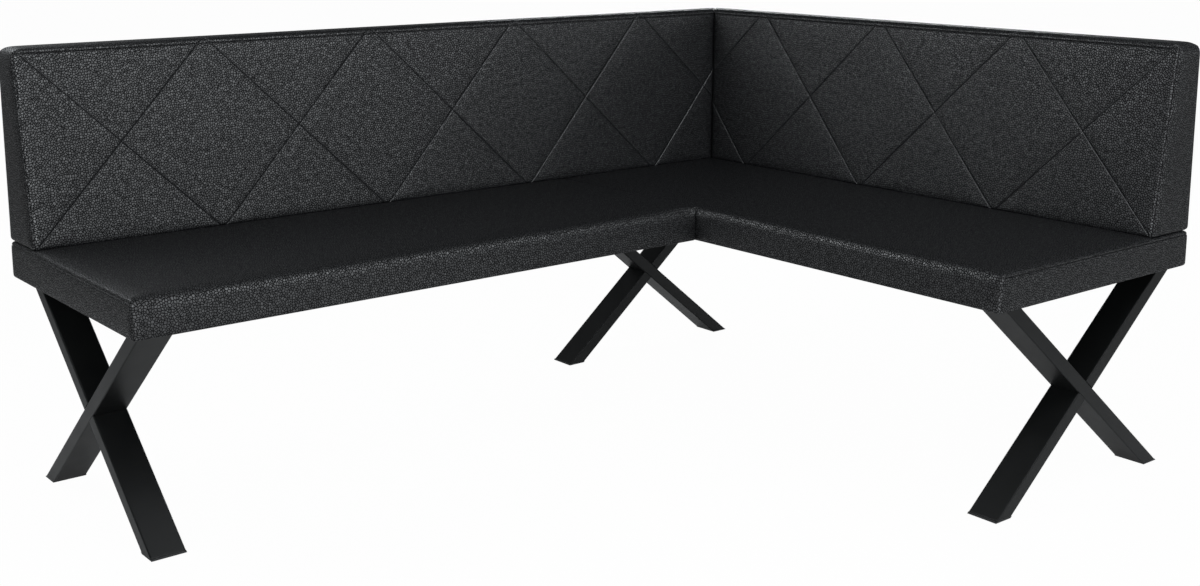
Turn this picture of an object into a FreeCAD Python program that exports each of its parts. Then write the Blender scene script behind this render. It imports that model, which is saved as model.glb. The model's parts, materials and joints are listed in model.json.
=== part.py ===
import FreeCAD
import Part
import Sketcher

import math
import os
import re

# Upholstered corner bench: two padded seats at a right angle, two wedge-shaped backs quilted in
# diamonds and mitred at the corner, and three welded X legs of rectangular steel tube.
# The long arm lies along X at the rear, the short arm comes forwards (-Y) at the +X end, Z is up.
# The origin is on the floor under the middle of the bench's outline.

os.makedirs("parts", exist_ok=True)
doc = FreeCAD.newDocument("CornerBench")
sheet = doc.addObject("Spreadsheet::Sheet", "Dims")

# Driving dimensions in millimetres, but a share is a plain number
DRIVING = [
    ("long_length", 2000, "long arm, outside length"),
    ("short_length", 1486, "short arm, outside length"),
    ("long_depth", 636, "long seat, rear to front"),
    ("short_depth", 652, "short seat, rear to front"),
    ("seat_height", 516, "floor to seat top"),
    ("seat_thickness", 77.5, "padded seat, underside to top"),
    ("back_height", 403, "back above the seat"),
    ("back_foot", 141, "back thickness where it stands on the seat"),
    ("back_head", 81, "back thickness at its top"),
    ("seat_joint_gap", 0.6, "between the two seats"),
    ("mitre_gap", 0.6, "between the two mitred backs"),
    ("front_round", 25, "seat, rounded front top edge"),
    ("soft_round", 10, "other padded edges"),
    ("mitre_round", 6, "back edges at the mitre"),
    ("head_round", 20, "back, rear top edge"),
    ("cover_wall", 3.5, "cover material with its fleece"),
    ("quilt_wall", 12, "quilted front: cover and wadding together"),
    ("cover_lip", 25, "cover turned in under the boards"),
    ("fit_gap", 0.3, "loose fit of parts that go inside others"),
    ("seat_board_thickness", 18, "plywood seat board"),
    ("back_board_thickness", 12, "plywood rear board of a back"),
    ("base_board_thickness", 18, "plywood base board of a back"),
    ("dust_sheet", 1, "non-woven sheet under a seat"),
    ("dust_margin", 12, "seat edge to dust sheet edge"),
    ("long_quilt_width", 412, "long back, width of one diamond cell"),
    ("short_quilt_width", 404, "short back, width of one diamond cell"),
    ("quilt_height", 412, "height of one diamond cell"),
    ("channel_radius", 12, "round of a sewn channel"),
    ("channel_depth", 3, "depth of a sewn channel"),
    ("tube_width", 70, "leg tube, wide side"),
    ("tube_thickness", 30, "leg tube, narrow side"),
    ("tube_wall", 2, "leg tube wall"),
    ("tube_round", 2.5, "leg tube outside corner"),
    ("plate_thickness", 5, "flat bar on top of a leg"),
    ("cap_flange", 3, "foot cap under the tube end"),
    ("cap_plug", 15, "foot cap inside the tube"),
    ("long_leg_span", 560, "left leg, over its feet"),
    ("short_leg_span", 570, "right and corner leg, over their feet"),
    ("long_leg_rear", 28, "left leg, set in from the rear"),
    ("short_leg_rear", 33, "right and corner leg, set in from the rear"),
    ("left_leg_end", 30, "left leg, set in from the long arm's end"),
    ("right_leg_end", 21, "right leg, set in from the short arm's end"),
    ("corner_leg_end", 26, "corner leg, set in from the corner's rear"),
    ("screw_radius", 4, "hex-headed wood screw, shank"),
    ("screw_gap", 0.1, "screw in its hole in wood"),
    ("screw_clearance", 0.5, "hole in metal or cloth over the shank"),
    ("screw_head_radius", 7.2, "hexagon head, middle to corner"),
    ("screw_head_height", 5, "hexagon head"),
    ("leg_screw_across", 40, "leg screws, spacing across the plate"),
    ("leg_screw_along", 300, "leg screws, spacing along the plate"),
    ("leg_screw_length", 24, "leg screw under its head"),
    ("back_screw_length", 92, "back screw under its head"),
    ("back_screw_rear", 60, "back screws, set in from the rear"),
    ("back_screw_inset", 160, "back screws, set in from the seat's ends"),
    ("corner_screw_inset", 200, "first screw of the short back, from the corner"),
    ("joiner_length", 200, "flat bar that joins the seats"),
    ("joiner_width", 40, "flat bar that joins the seats"),
    ("joiner_thickness", 4, "flat bar that joins the seats"),
    ("joiner_inset", 150, "joining bars, from the long seat's rear and front"),
    ("joiner_screw_inset", 30, "screws of a joining bar, from its ends"),
    ("joiner_screw_length", 19, "joining screw under its head"),
    ("overrun", 20, "how far cutting shapes run past a face"),
]

# Sizes that follow from the driving dimensions
DERIVED = [
    ("long_seat_length", "long_length - short_depth - seat_joint_gap"),
    ("seat_low", "seat_height - seat_thickness"),
    ("bench_top", "seat_height + back_height"),
    ("board_low", "seat_low + cover_wall"),
    ("board_high", "board_low + seat_board_thickness"),
    ("base_low", "seat_height + cover_wall"),
    ("base_high", "base_low + base_board_thickness"),
    ("dust_low", "seat_low - dust_sheet"),
    ("tube_top", "dust_low - plate_thickness"),
    ("mitre_set", "mitre_gap / sqrt(2)"),
    ("wall_set", "mitre_set + cover_wall * sqrt(2)"),
    ("fit_set", "mitre_set + (cover_wall + fit_gap) * sqrt(2)"),
    ("cavity", "cover_wall + fit_gap"),
    ("joint_mid", "long_seat_length + seat_joint_gap / 2"),
    ("joiner_low", "dust_low - joiner_thickness"),
    ("joiner_reach", "joiner_length / 2 - joiner_screw_inset"),
    ("joiner_spacing", "long_depth - 2 * joiner_inset"),
    ("pilot_hole", "screw_radius + screw_gap"),
    ("clear_hole", "screw_radius + screw_clearance"),
]
# The horizontal cut through a leaning tube, from its span, its height and its thickness
CUT = (
    "tube_thickness * (tube_top * sqrt({0}^2 + tube_top^2 - tube_thickness^2)"
    " - tube_thickness * {0}) / (tube_top^2 - tube_thickness^2)"
)
for side in ("long", "short"):
    span, width = f"{side}_leg_span", f"{side}_leg_cut"
    DERIVED.append((width, CUT.format(span)))
    DERIVED.append((f"{side}_leg_lean", f"({span} - {width}) / tube_top"))
    DERIVED.append((f"{side}_leg_wall", f"tube_wall * {width} / tube_thickness"))
    DERIVED.append((f"{side}_plug_wall", f"(tube_wall + fit_gap) * {width} / tube_thickness"))

for line, (alias, size, note) in enumerate(DRIVING, 1):
    sheet.set(f"A{line}", note)
    sheet.set(f"B{line}", str(size))
    sheet.setAlias(f"B{line}", alias)
for line, (alias, formula) in enumerate(DERIVED, len(DRIVING) + 1):
    sheet.set(f"A{line}", "derived")
    sheet.set(f"B{line}", "=" + formula)
    sheet.setAlias(f"B{line}", alias)
doc.recompute()
ALIASES = {row[0] for row in DRIVING} | {row[0] for row in DERIVED}


def bound(text):
    """An expression with each dimension's name turned into its cell of the sheet."""
    return re.sub(r"[a-z_]+", lambda m: f"Dims.{m[0]}" if m[0] in ALIASES else m[0], text)


def value(text):
    """The number that an expression of dimension names has now."""
    return float(sheet.evalExpression(bound(text)))


# How closely two directions agree that count as the same
SLACK_SHARE = 0.001

# How far each arm's own frame is turned. In it x runs along the arm, the rear is at y = 0 and the
# front at negative y. The long arm starts at its free end, the short one at the corner.
ARM_YAW = {"long": 0, "short": -90}


def place(piece, arm, along="0", across="0", up="0"):
    """Puts a piece into an arm's frame, at a point of that frame."""
    turn = FreeCAD.Rotation(FreeCAD.Vector(0, 0, 1), ARM_YAW[arm])
    piece.Placement = FreeCAD.Placement(FreeCAD.Vector(), turn)
    if arm == "long":
        x, y = f"-long_length / 2 + ({along})", f"short_length / 2 + ({across})"
    else:
        x, y = f"long_length / 2 + ({across})", f"short_length / 2 - ({along})"
    piece.setExpression("Placement.Base.x", bound(x))
    piece.setExpression("Placement.Base.y", bound(y))
    piece.setExpression("Placement.Base.z", bound(up))


def new_body(label, arm, along="0", across="0", up="0"):
    """An empty body in an arm's frame."""
    body = doc.addObject("PartDesign::Body", label)
    body.Label = label
    place(body, arm, along, across, up)
    return body


def origin_of(body, role):
    """One of the body's own origin planes or axes."""
    return next(o for o in body.Origin.OriginFeatures if o.Role == role)


def new_sketch(body, role, shift="0"):
    """An empty sketch on one of the body's origin planes, moved along the plane's normal."""
    sketch = body.newObject("Sketcher::SketchObject", "Sketch")
    sketch.AttachmentSupport = (origin_of(body, role), [""])
    sketch.MapMode = "FlatFace"
    sketch.setExpression("AttachmentOffset.Base.z", bound(shift))
    return sketch


def pin_point(sketch, geometry, end, point):
    """Ties one point of a sketch to a pair of expressions."""
    for kind, text in zip(("DistanceX", "DistanceY"), point):
        index = sketch.addConstraint(Sketcher.Constraint(kind, -1, 1, geometry, end, value(text)))
        sketch.setExpression(f"Constraints[{index}]", bound(text))


def outline(sketch, points):
    """A closed outline through points that are pairs of expressions.

    Sides are straight. A third entry in a point is the radius of a quarter round that leads to it.
    An outline with rounds runs clockwise, and they bulge outwards."""
    spots = [FreeCAD.Vector(value(p[0]), value(p[1]), 0) for p in points]
    count = len(points)
    ends = []
    for i, spot in enumerate(spots):
        after = spots[(i + 1) % count]
        if len(points[(i + 1) % count]) > 2:
            corner = FreeCAD.Vector(spot.x, after.y, 0)
            if (after - spot).cross(corner - spot).z < 0:
                corner = FreeCAD.Vector(after.x, spot.y, 0)
            # an arc is drawn anticlockwise, so it starts at the outline's later point
            centre = spot + after - corner
            circle = Part.Circle(centre, FreeCAD.Vector(0, 0, 1), spot.distanceToPoint(centre))
            start = math.atan2(after.y - centre.y, after.x - centre.x)
            sketch.addGeometry(Part.ArcOfCircle(circle, start, start + math.pi / 2))
            ends.append((2, 1))
        else:
            sketch.addGeometry(Part.LineSegment(spot, after))
            ends.append((1, 2))
    for i in range(count):
        following = (i + 1) % count
        joint = Sketcher.Constraint("Coincident", i, ends[i][1], following, ends[following][0])
        sketch.addConstraint(joint)
        pin_point(sketch, i, ends[i][0], points[i])
        if len(points[following]) > 2:
            size_curve(sketch, i, points[following][2])


def size_curve(sketch, geometry, radius):
    """Ties an arc's or a circle's radius to an expression."""
    index = sketch.addConstraint(Sketcher.Constraint("Radius", geometry, value(radius)))
    sketch.setExpression(f"Constraints[{index}]", bound(radius))


def circles(sketch, centres, radius):
    """Circles of one radius about centres that are pairs of expressions."""
    for centre in centres:
        spot = FreeCAD.Vector(value(centre[0]), value(centre[1]), 0)
        circle = sketch.addGeometry(Part.Circle(spot, FreeCAD.Vector(0, 0, 1), value(radius)))
        pin_point(sketch, circle, 3, centre)
        size_curve(sketch, circle, radius)


def pad(body, sketch, length):
    """Material along the sketch plane's normal."""
    feature = body.newObject("PartDesign::Pad", "Pad")
    feature.Profile = sketch
    feature.setExpression("Length", bound(length))
    doc.recompute()
    return feature


def pocket(body, sketch, length):
    """A cut along the sketch plane's normal, which has to take something away."""
    before = body.Shape.Volume
    feature = body.newObject("PartDesign::Pocket", "Pocket")
    feature.Profile = sketch
    feature.Reversed = True
    feature.setExpression("Length", bound(length))
    doc.recompute()
    if body.Shape.Volume >= before:
        raise ValueError(f"a pocket of {body.Label} cuts nothing")
    return feature


def beam(body, section, start, length):
    """A section drawn across the arm and run along the arm."""
    sketch = new_sketch(body, "YZ_Plane", start)
    outline(sketch, section)
    return pad(body, sketch, length)


def trench(body, section, start, length):
    """A cut whose section is drawn across the arm and run along the arm."""
    sketch = new_sketch(body, "YZ_Plane", start)
    outline(sketch, section)
    return pocket(body, sketch, length)


def block(front, rear, low, high):
    """The section of a plain board."""
    return [(front, low), (rear, low), (rear, high), (front, high)]


def drill(body, centres, radius, low, height):
    """Upright holes from a level upwards."""
    sketch = new_sketch(body, "XY_Plane", low)
    circles(sketch, centres, radius)
    return pocket(body, sketch, height)


def snip(body, centres, half, low, height):
    """Square openings cut for screws in cloth or foam, from a level upwards."""
    for x, y in centres:
        sketch = new_sketch(body, "XY_Plane", low)
        left, right = f"{x} - ({half})", f"{x} + ({half})"
        near, far = f"{y} - ({half})", f"{y} + ({half})"
        outline(sketch, [(left, near), (right, near), (right, far), (left, far)])
        pocket(body, sketch, height)


def fillet(body, names, radius):
    """Rounds the named edges of a body's last feature."""
    if not names:
        raise ValueError(f"{body.Label} has no edge to round")
    base = body.Tip
    feature = body.newObject("PartDesign::Fillet", "Fillet")
    feature.Base = (base, names)
    feature.setExpression("Radius", bound(radius))
    doc.recompute()
    if "Invalid" in feature.State:
        raise ValueError(f"{body.Label} can't be rounded by {value(radius)}")
    return feature


def lies_in(edge, planes):
    """Whether an edge lies in each of the given planes."""
    box = edge.BoundBox
    spans = {"x": (box.XMin, box.XMax), "y": (box.YMin, box.YMax), "z": (box.ZMin, box.ZMax)}
    slack = value("fit_gap") / 2
    return all(
        abs(end - value(text)) < slack for axis, text in planes.items() for end in spans[axis]
    )


def round_edges(body, radius, places, skip=None):
    """Rounds each edge that lies in all the planes of one of the places, and not in skip's."""
    names = [
        f"Edge{i}"
        for i, edge in enumerate(body.Tip.Shape.Edges, 1)
        if any(lies_in(edge, planes) for planes in places) and not (skip and lies_in(edge, skip))
    ]
    return fillet(body, names, radius)


def repeat(body, features, along=None, across=None):
    """Copies of features in a row or a grid. Each direction is its count and its spacing."""
    pattern = body.newObject("PartDesign::LinearPattern", "LinearPattern")
    pattern.Originals = features
    for axis, suffix, steps in (("X_Axis", "", along), ("Y_Axis", "2", across)):
        if steps:
            count, spacing = steps
            setattr(pattern, "Direction" + suffix, (origin_of(body, axis), [""]))
            setattr(pattern, "Occurrences" + suffix, count)
            pattern.setExpression("Length" + suffix, bound(f"({spacing}) * {count - 1}"))
    body.Tip = pattern
    doc.recompute()
    return pattern


def cut(label, base, tool):
    """A piece left when a tool shape is taken out of a base shape."""
    piece = doc.addObject("Part::Cut", label)
    piece.Label = label
    piece.Base = base
    piece.Tool = tool
    doc.recompute()
    if piece.Shape.Volume >= base.Shape.Volume:
        raise ValueError(f"{label} loses nothing to its tool")
    return piece


parts = []


def keep(piece):
    """Counts a piece among those of the finished bench."""
    parts.append(piece)
    return piece


# Seats: a plywood board in a foam block, both wrapped in one cover that is turned in under the
# board and closed with a dust sheet. The front top edge is well rounded, the rest is softer.
def seat_front(depth, inset, low, high):
    """The front half of a seat's section, up to the end of its rounded front edge."""
    front, curve = f"{inset} - ({depth})", f"(front_round - {inset})"
    rounded = (f"{front} + {curve}", high, curve)
    return [(front, low), (front, f"{high} - {curve}"), rounded]


def inner_seat(depth, inset, low, high):
    """The section of what lies inside a seat's cover, set in from the cover's outside."""
    curve = f"(soft_round - {inset})"
    rear = [
        (f"-{inset} - {curve}", high),
        (f"-{inset}", f"{high} - {curve}", curve),
        (f"-{inset}", low),
    ]
    return seat_front(depth, inset, low, high) + rear


def build_seat(arm, length, depth, leg_screws, joiner_screws, back_screws):
    """One seat of the bench with its board, foam, cover and dust sheet."""
    outer = new_body(f"{arm}_seat_outer", arm)
    front = seat_front(depth, "0", "seat_low", "seat_height")
    beam(outer, front + [("0", "seat_height"), ("0", "seat_low")], "0", length)
    rims = [{"y": "0", "z": "seat_height"}]
    foot = {"z": "seat_low"}
    if arm == "long":
        round_edges(outer, "soft_round", rims + [{"x": "0"}], foot)
    else:
        # where the long seat butts against it the side stays upright to the top
        side = block(f"-{depth}", f"-{depth} / 2", "seat_low", "seat_height")
        beam(outer, side, "0", "long_depth")
        rims += [{"x": length}, {"x": "0", "z": "seat_height"}, {"x": "0", "y": "0"}]
        round_edges(outer, "soft_round", rims, foot)
    through = "seat_thickness + 2 * overrun"
    snip(outer, back_screws, "clear_hole", "seat_low - overrun", through)

    hollow = new_body(f"{arm}_seat_hollow", arm)
    section = inner_seat(depth, "cover_wall", "board_low", "seat_height - cover_wall")
    beam(hollow, section, "cover_wall", f"{length} - 2 * cover_wall")
    mouth = "(cover_wall + cover_lip)"
    turned = block(f"{mouth} - {depth}", f"-{mouth}", "seat_low - overrun", "board_low + overrun")
    beam(hollow, turned, mouth, f"{length} - 2 * {mouth}")
    keep(cut(f"{arm}_seat_cover", outer, hollow))

    board = new_body(f"{arm}_seat_board", arm)
    flat = block(f"cavity - {depth}", "-cavity", "board_low", "board_high")
    beam(board, flat, "cavity", f"{length} - 2 * cavity")
    drill(board, back_screws, "clear_hole", "board_low - overrun", through)
    for centres, head_level, screw_length in (
        (leg_screws, "tube_top", "leg_screw_length"),
        (joiner_screws, "joiner_low", "joiner_screw_length"),
    ):
        depth_in = f"{head_level} + {screw_length} + screw_gap - board_low"
        drill(board, centres, "pilot_hole", "board_low - overrun", f"{depth_in} + overrun")
    keep(board)

    foam = new_body(f"{arm}_seat_foam", arm)
    section = inner_seat(depth, "cavity", "board_high", "seat_height - cavity")
    beam(foam, section, "cavity", f"{length} - 2 * cavity")
    snip(foam, back_screws, "clear_hole", "seat_low - overrun", through)
    keep(foam)

    lining = new_body(f"{arm}_seat_dust_sheet", arm)
    thin = block(f"dust_margin - {depth}", "-dust_margin", "dust_low", "seat_low")
    beam(lining, thin, "dust_margin", f"{length} - 2 * dust_margin")
    for centres, half in (
        (leg_screws + joiner_screws, "clear_hole"),
        (back_screws, "screw_head_radius + fit_gap"),
    ):
        snip(lining, centres, half, "dust_low - overrun", "dust_sheet + 2 * overrun")
    keep(lining)


# The arm that each leg stands under, and where the middle of the leg is along it
LEGS = {
    "left": ("long", "left_leg_end + tube_width / 2"),
    "right": ("short", "short_length - right_leg_end - tube_width / 2"),
    "corner": ("short", "corner_leg_end + tube_width / 2"),
}


def leg_centre(leg):
    """The middle of a leg in its arm's frame."""
    arm, along = LEGS[leg]
    return along, f"-({arm}_leg_rear + {arm}_leg_span / 2)"


def leg_screws(leg):
    """The four screw centres of a leg in its arm's frame."""
    along, across = leg_centre(leg)
    return [
        (f"{along} + {i} * leg_screw_across / 2", f"{across} + {j} * leg_screw_along / 2")
        for i in (-1, 1)
        for j in (-1, 1)
    ]


LONG_SCREWS = 3
SHORT_SCREWS = 2
JOINERS = 2
# Where the back screws start along each arm, and how far apart they are
BACK_SCREWS = {
    "long": (
        "back_screw_inset",
        f"(long_seat_length - 2 * back_screw_inset) / {LONG_SCREWS - 1}",
        LONG_SCREWS,
    ),
    "short": (
        "corner_screw_inset",
        f"(short_length - corner_screw_inset - back_screw_inset) / {SHORT_SCREWS - 1}",
        SHORT_SCREWS,
    ),
}


def back_screws(arm):
    """The centres of the screws that hold a back, in its arm's frame."""
    first, spacing, count = BACK_SCREWS[arm]
    return [(f"{first} + {i} * ({spacing})", "-back_screw_rear") for i in range(count)]


joiner_rows = [f"(joiner_inset + {i} * joiner_spacing)" for i in range(JOINERS)]
joiner_screws = {
    "long": [("joint_mid - joiner_reach", f"-{row}") for row in joiner_rows],
    "short": [
        (row, "joiner_reach - short_depth - seat_joint_gap / 2") for row in joiner_rows
    ],
}
leg_rows = {"long": leg_screws("left"), "short": leg_screws("right") + leg_screws("corner")}
for arm, length in (("long", "long_seat_length"), ("short", "short_length")):
    fixings = leg_rows[arm], joiner_screws[arm], back_screws(arm)
    build_seat(arm, length, f"{arm}_depth", *fixings)


# Backs: a plywood rear board and a base board in a wedge of foam, in a cover whose front is
# quilted over wadding. Both backs are cut at 45 degrees where they meet in the corner.
def front_at(level):
    """How far forward a back's face stands at a level, as an expression."""
    return f"back_head + (back_foot - back_head) * (bench_top - ({level})) / back_height"


def mitre(body, corner, inset, side):
    """Cuts a back at 45 degrees through the bench's outer corner, less an inset."""
    reach = "back_foot + overrun"
    if side == "stop":
        near = f"{corner} - ({inset})"
        points = [
            (f"{near} + overrun", "overrun"),
            (f"{near} - ({reach})", f"-({reach})"),
            (f"{corner} + 2 * overrun", f"-({reach})"),
            (f"{corner} + 2 * overrun", "overrun"),
        ]
    else:
        near = f"{corner} + ({inset})"
        points = [
            (f"{near} - overrun", "overrun"),
            (f"{near} + {reach}", f"-({reach})"),
            (f"{corner} - 2 * overrun", f"-({reach})"),
            (f"{corner} - 2 * overrun", "overrun"),
        ]
    sketch = new_sketch(body, "XY_Plane", "seat_height - overrun")
    outline(sketch, points)
    pocket(body, sketch, "back_height + 2 * overrun")


def back_section(wall, front_wall, low, high, rear_round):
    """The wedge section of a back, or of the same back set in by its walls."""
    section = [
        (f"{front_wall} - ({front_at(low)})", low),
        (f"{front_wall} - ({front_at(high)})", high),
        (f"-({wall})", high),
        (f"-({wall})", low),
    ]
    if rear_round == "0":
        return section
    curve = f"({rear_round} - {wall})"
    rounded = [(f"-({wall}) - {curve}", high), (f"-({wall})", f"{high} - {curve}", curve)]
    return section[:2] + rounded + section[3:]


def back_form(body, arm, length, wall, section, inset):
    """A back's section run from its free end to the corner and mitred there."""
    start = wall if arm == "long" else "0"
    beam(body, section, start, f"{length} - {wall}")
    if arm == "long":
        mitre(body, length, inset, "stop")
    else:
        mitre(body, "0", inset, "start")


def mitre_edges(body, radius, foot):
    """Rounds the outline of a back's mitred end, but not its foot."""
    edges = body.Tip.Shape.Edges
    names = []
    for face in body.Tip.Shape.Faces:
        normal = face.normalAt(0, 0)
        flat = face.Surface.TypeId == "Part::GeomPlane"
        if flat and math.isclose(abs(normal.x), math.sqrt(1 / 2), rel_tol=SLACK_SHARE):
            rim = [edge for edge in face.Edges if not lies_in(edge, foot)]
            names += [
                f"Edge{i}" for i, edge in enumerate(edges, 1) if any(edge.isSame(r) for r in rim)
            ]
    return fillet(body, names, radius)


def channels(arm, length, width, rising):
    """The sewn channels of one direction, as rods that lie partly in the quilted front."""
    free, way = (0, 1) if arm == "long" else (value(length), -1)
    step = value(width)
    radius = value("channel_radius")
    lean = value("(back_foot - back_head) / back_height")
    # each rod passes through the middle of its cell, this far in front of the face
    above = (radius - value("channel_depth")) * math.hypot(1, lean)
    middle = "seat_height + back_height / 2"
    rise = value("quilt_height / 2 + overrun")
    run = rise * step / value("quilt_height") * (way if rising else -way)
    half = FreeCAD.Vector(run, rise * lean, rise)
    rods = []
    for cell in range(math.ceil(value(length) / step)):
        along = free + way * (cell * step + step / 2)
        centre = FreeCAD.Vector(along, -value(front_at(middle)) - above, value(middle))
        rods.append(Part.makeCylinder(radius, 2 * half.Length, centre - half, half))
    tool = doc.addObject("Part::Feature", f"{arm}_channels_{'up' if rising else 'down'}")
    tool.Shape = Part.makeCompound(rods)
    place(tool, arm)
    doc.recompute()
    return tool


def build_back(arm, length, quilt_width):
    """One back of the bench with its boards, foam and quilted cover."""
    outer = new_body(f"{arm}_back_outer", arm)
    section = back_section("0", "0", "seat_height", "bench_top", "0")
    back_form(outer, arm, length, "0", section, "mitre_set")
    free = {"x": "0"} if arm == "long" else {"x": length}
    foot = {"z": "seat_height"}
    round_edges(outer, "head_round", [{"y": "0", "z": "bench_top"}])
    round_edges(outer, "soft_round", [free, {"y": "-back_head", "z": "bench_top"}], foot)
    mitre_edges(outer, "mitre_round", foot)

    hollow = new_body(f"{arm}_back_hollow", arm)
    high = "bench_top - cover_wall"
    section = back_section("cover_wall", "quilt_wall", "base_low", high, "head_round")
    back_form(hollow, arm, length, "cover_wall", section, "wall_set")
    mouth = "(cover_wall + cover_lip)"
    front = "quilt_wall + cover_lip - back_foot"
    turned = block(front, f"-{mouth}", "seat_height - overrun", "base_low + overrun")
    start = mouth if arm == "long" else f"back_foot + {mouth}"
    beam(hollow, turned, start, f"{length} - back_foot - 2 * {mouth}")
    shell = cut(f"{arm}_back_shell", outer, hollow)
    fluted = cut(f"{arm}_back_fluted", shell, channels(arm, length, quilt_width, True))
    keep(cut(f"{arm}_back_cover", fluted, channels(arm, length, quilt_width, False)))

    # The boards end square, just clear of the mitre
    rear_front = "(cavity + back_board_thickness)"
    base_front = f"({front_at('base_high')} - quilt_wall - fit_gap)"
    board_top = "bench_top - head_round"
    foam = new_body(f"{arm}_back_foam", arm)
    high = "bench_top - cavity"
    section = back_section("cavity", "quilt_wall + fit_gap", "base_high", high, "head_round")
    back_form(foam, arm, length, "cavity", section, "fit_set")
    for name, front, low, high in (
        ("rear_board", rear_front, "base_high", board_top),
        ("base_board", base_front, "base_low", "base_high"),
    ):
        board = new_body(f"{arm}_back_{name}", arm)
        corner_end = f"(fit_set + {front})"
        start = "cavity" if arm == "long" else corner_end
        run = f"{length} - cavity - {corner_end}"
        beam(board, block(f"-{front}", "-cavity", low, high), start, run)
        keep(board)
        if name == "rear_board":
            space = block(f"-{front} - fit_gap", "overrun", "seat_height", f"{high} + fit_gap")
            trench(foam, space, f"{start} - overrun", f"{run} + 2 * overrun")
        else:
            depth_in = "board_low + back_screw_length + screw_gap - base_low"
            depth_in = f"{depth_in} + overrun"
            drill(board, back_screws(arm), "pilot_hole", "base_low - overrun", depth_in)
    keep(foam)


for arm in ("long", "short"):
    build_back(arm, f"{arm}_length", f"{arm}_quilt_width")


# Legs: each X is one through bar and two half bars welded to its narrow faces, under a flat bar.
# In a leg's own frame y runs across the arm and the rear foot is at positive y.
def tube(label, leg, side_view, foot_side):
    """A length of leg tube with the given side view, rounded along its corners and hollow.

    foot_side is 1 if the tube's foot is the rear one and -1 if it is the front one."""
    arm = LEGS[leg][0]
    body = new_body(label, arm, *leg_centre(leg))
    beam(body, side_view, "-tube_width / 2", "tube_width")
    direction = FreeCAD.Vector(0, -value(f"{arm}_leg_lean") * foot_side, 1).normalize()
    names = []
    for i, edge in enumerate(body.Tip.Shape.Edges, 1):
        along = abs(edge.tangentAt(edge.FirstParameter).dot(direction))
        if math.isclose(along, 1, rel_tol=SLACK_SHARE):
            names.append(f"Edge{i}")
    fillet(body, names, "tube_round")
    half, wall = f"{arm}_leg_span / 2", f"{arm}_leg_wall"
    width, over = f"{arm}_leg_cut", f"overrun * {arm}_leg_lean"
    bore = [
        (f"{foot_side} * ({half} - {wall} + {over})", "-overrun"),
        (f"{foot_side} * ({half} - {width} + {wall} + {over})", "-overrun"),
        (f"{foot_side} * ({wall} - {half} - {over})", "tube_top + overrun"),
        (f"{foot_side} * ({width} - {wall} - {half} - {over})", "tube_top + overrun"),
    ]
    trench(body, bore, "tube_wall - tube_width / 2", "tube_width - 2 * tube_wall")
    keep(body)


def build_leg(leg):
    """One X leg with its bars, foot caps, top plate and screws."""
    arm = LEGS[leg][0]
    half, width, lean = f"{arm}_leg_span / 2", f"{arm}_leg_cut", f"{arm}_leg_lean"
    middle, rise = "tube_top / 2", f"{width} / 2 / {lean}"
    step = f"cap_flange * {lean}"
    through = [
        (f"{half} - {step}", "cap_flange"),
        (f"{half} - {width} - {step}", "cap_flange"),
        (f"-{half}", "tube_top"),
        (f"-{half} + {width}", "tube_top"),
    ]
    lower = [
        (f"-{half} + {step}", "cap_flange"),
        (f"-{half} + {width} + {step}", "cap_flange"),
        ("0", f"{middle} - {rise}"),
        (f"-{width} / 2", middle),
    ]
    upper = [
        (half, "tube_top"),
        (f"{half} - {width}", "tube_top"),
        ("0", f"{middle} + {rise}"),
        (f"{width} / 2", middle),
    ]
    tube(f"{leg}_leg_through_bar", leg, through, 1)
    tube(f"{leg}_leg_lower_bar", leg, lower, -1)
    tube(f"{leg}_leg_upper_bar", leg, upper, -1)

    inside, reach = f"{arm}_plug_wall", f"(cap_flange + cap_plug) * {lean}"
    play = "(tube_wall + fit_gap)"
    for name, side in (("rear", 1), ("front", -1)):
        cap = new_body(f"{leg}_leg_{name}_foot_cap", arm, *leg_centre(leg))
        foot = [
            (f"{side} * ({half})", "0"),
            (f"{side} * ({half} - {width})", "0"),
            (f"{side} * ({half} - {width} - {step})", "cap_flange"),
            (f"{side} * ({half} - {step})", "cap_flange"),
        ]
        beam(cap, foot, "-tube_width / 2", "tube_width")
        plug = [
            (f"{side} * ({half} - {inside})", "0"),
            (f"{side} * ({half} - {width} + {inside})", "0"),
            (f"{side} * ({half} - {width} + {inside} - {reach})", "cap_flange + cap_plug"),
            (f"{side} * ({half} - {inside} - {reach})", "cap_flange + cap_plug"),
        ]
        beam(cap, plug, f"{play} - tube_width / 2", f"tube_width - 2 * {play}")
        keep(cap)

    plate = new_body(f"{leg}_leg_top_plate", arm, *leg_centre(leg))
    flat = block(f"-{half}", half, "tube_top", "dust_low")
    beam(plate, flat, "-tube_width / 2", "tube_width")
    corner = [("-leg_screw_across / 2", "-leg_screw_along / 2")]
    through = "plate_thickness + 2 * overrun"
    hole = drill(plate, corner, "clear_hole", "tube_top - overrun", through)
    grid = (2, "leg_screw_across"), (2, "leg_screw_along")
    repeat(plate, [hole], *grid)
    keep(plate)
    build_screws(f"{leg}_leg_screws", arm, leg_screws(leg)[0], "tube_top", "leg_screw_length", grid)


def build_screws(label, arm, spot, level, length, steps):
    """Upright hex-headed screws in a row or a grid, the undersides of their heads at a level."""
    screws = new_body(label, arm, *spot, level)
    corner, flat = "screw_head_radius", "screw_head_radius * sqrt(3) / 2"
    hexagon = [
        (corner, "0"),
        (f"{corner} / 2", flat),
        (f"-{corner} / 2", flat),
        (f"-{corner}", "0"),
        (f"-{corner} / 2", f"-{flat}"),
        (f"{corner} / 2", f"-{flat}"),
    ]
    sketch = new_sketch(screws, "XY_Plane", "-screw_head_height")
    outline(sketch, hexagon)
    head = pad(screws, sketch, "screw_head_height")
    sketch = new_sketch(screws, "XY_Plane")
    circles(sketch, [("0", "0")], "screw_radius")
    shank = pad(screws, sketch, length)
    repeat(screws, [head, shank], *steps)
    keep(screws)


for leg in LEGS:
    build_leg(leg)

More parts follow.
